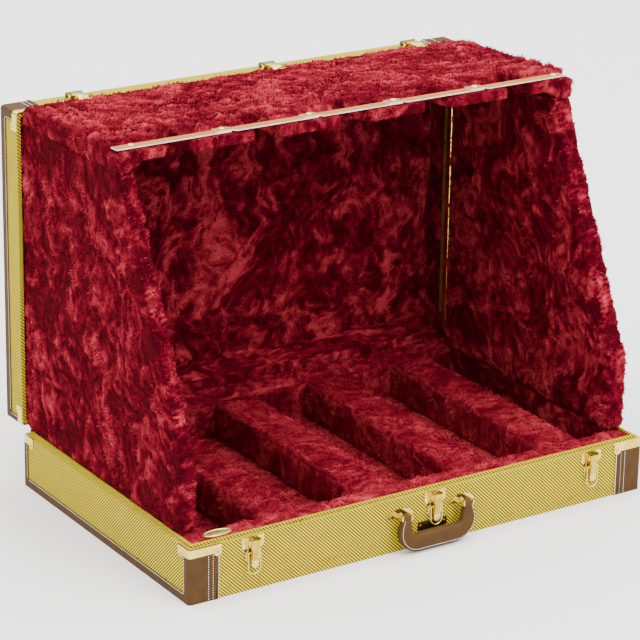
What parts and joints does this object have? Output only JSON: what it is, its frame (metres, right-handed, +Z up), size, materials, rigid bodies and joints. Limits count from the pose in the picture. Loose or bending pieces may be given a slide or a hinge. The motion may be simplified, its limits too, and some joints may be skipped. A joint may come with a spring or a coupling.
{
  "type": "guitar case",
  "caption": "Hard case of two shallow trays that opens into a padded guitar stand, with folding side panels, a notched neck shelf, draw latches and a carrying handle.",
  "frame": {"origin": "centre of the base tray's underside, on the surface that the case stands on", "axes": "+X to the right along the case, front faces -Y, +Z up"},
  "size_m": [0.803, 0.572, 0.606],
  "materials": {
    "tweed_ply": "matte",
    "plush": "matte",
    "core_board": "matte",
    "leather": "satin",
    "strap_leather": "satin",
    "brass": "polished",
    "dark_brass": "satin"
  },
  "bodies": {
    "base": {"back_liner": "plush", "bail_rest_plate": "dark_brass", "base_back_wall": "tweed_ply", "base_bottom_board": "tweed_ply", "base_corner_brackets": "brass", "base_front_wall": "tweed_ply", "base_leather_caps": "leather", "base_left_wall": "tweed_ply", "base_right_wall": "tweed_ply", "base_rim_tongue": "tweed_ply", "base_screws": "brass", "base_side_trims": "leather", "floor_divider_1": "plush", "floor_divider_2": "plush", "floor_divider_3": "plush", "floor_divider_4": "plush", "floor_pad": "plush", "front_liner": "plush", "handle_brackets": "brass", "latch_pins_and_rivets": "brass", "latch_plates": "brass", "lid_hinge_base_leaves": "brass", "lid_hinge_pins": "brass", "oval_plate": "brass", "side_liners": "plush"},
    "lid": {"lid_back_board": "tweed_ply", "lid_bottom_wall": "tweed_ply", "lid_catches": "brass", "lid_corner_brackets": "brass", "lid_hinge_lid_leaves": "brass", "lid_leather_caps": "leather", "lid_left_wall": "tweed_ply", "lid_lining": "plush", "lid_right_wall": "tweed_ply", "lid_screws": "brass", "lid_side_trims": "leather", "lid_top_wall": "tweed_ply", "hinge_battens": "plush", "shelf_rail": "plush", "rack_hinge_lid_leaves": "brass", "rack_hinge_pins": "brass"},
    "left_panel": {"left_panel_board": "core_board", "left_panel_cover": "plush", "left_panel_leaf": "brass"},
    "right_panel": {"right_panel_board": "core_board", "right_panel_cover": "plush", "right_panel_leaf": "brass"},
    "shelf": {"shelf_board": "core_board", "shelf_cover": "plush", "shelf_leaf": "brass", "neck_strap": "strap_leather", "strap_studs": "brass"},
    "handle": {"handle_grip": "leather", "handle_clips": "brass"},
    "latch_lever_1": {"latch_lever_1": "brass"},
    "latch_bail_1": {"latch_bail_1": "brass"},
    "latch_lever_2": {"latch_lever_2": "brass"},
    "latch_bail_2": {"latch_bail_2": "brass"},
    "latch_lever_3": {"latch_lever_3": "brass"},
    "latch_bail_3": {"latch_bail_3": "brass"}
  },
  "joints": [
    {"name": "lid_hinge", "type": "hinge", "parent": "base", "child": "lid", "pos_m": [0, 0.2555, 0.087], "axis": [-1, 0, 0], "range_deg": [0, 15]},
    {"name": "left_panel_hinge", "type": "hinge", "parent": "lid", "child": "left_panel", "pos_m": [-0.3635, 0.2505, 0.112], "axis": [0, 0, 1], "range_deg": [0, 90]},
    {"name": "right_panel_hinge", "type": "hinge", "parent": "lid", "child": "right_panel", "pos_m": [0.3635, 0.224, 0.112], "axis": [0, 0, -1], "range_deg": [0, 90]},
    {"name": "shelf_hinge", "type": "hinge", "parent": "lid", "child": "shelf", "pos_m": [0, 0.25, 0.5775], "axis": [-1, 0, 0], "range_deg": [0, 10]},
    {"name": "handle_swing", "type": "hinge", "parent": "base", "child": "handle", "pos_m": [0.009, -0.263, 0.06], "axis": [-1, 0, 0], "range_deg": [0, 90]},
    {"name": "latch_lever_1_lift", "type": "hinge", "parent": "base", "child": "latch_lever_1", "pos_m": [-0.297, -0.2525, 0.0765], "axis": [-1, 0, 0], "range_deg": [0, 80]},
    {"name": "latch_bail_1_swing", "type": "hinge", "parent": "latch_lever_1", "child": "latch_bail_1", "pos_m": [-0.297, -0.2525, 0.061], "axis": [-1, 0, 0], "range_deg": [0, 70]},
    {"name": "latch_lever_2_lift", "type": "hinge", "parent": "base", "child": "latch_lever_2", "pos_m": [0.016, -0.2525, 0.0765], "axis": [-1, 0, 0], "range_deg": [0, 80]},
    {"name": "latch_bail_2_swing", "type": "hinge", "parent": "latch_lever_2", "child": "latch_bail_2", "pos_m": [0.016, -0.2525, 0.061], "axis": [-1, 0, 0], "range_deg": [0, 70]},
    {"name": "latch_lever_3_lift", "type": "hinge", "parent": "base", "child": "latch_lever_3", "pos_m": [0.304, -0.2525, 0.0765], "axis": [-1, 0, 0], "range_deg": [0, 80]},
    {"name": "latch_bail_3_swing", "type": "hinge", "parent": "latch_lever_3", "child": "latch_bail_3", "pos_m": [0.304, -0.2525, 0.061], "axis": [-1, 0, 0], "range_deg": [0, 70]}
  ]
}
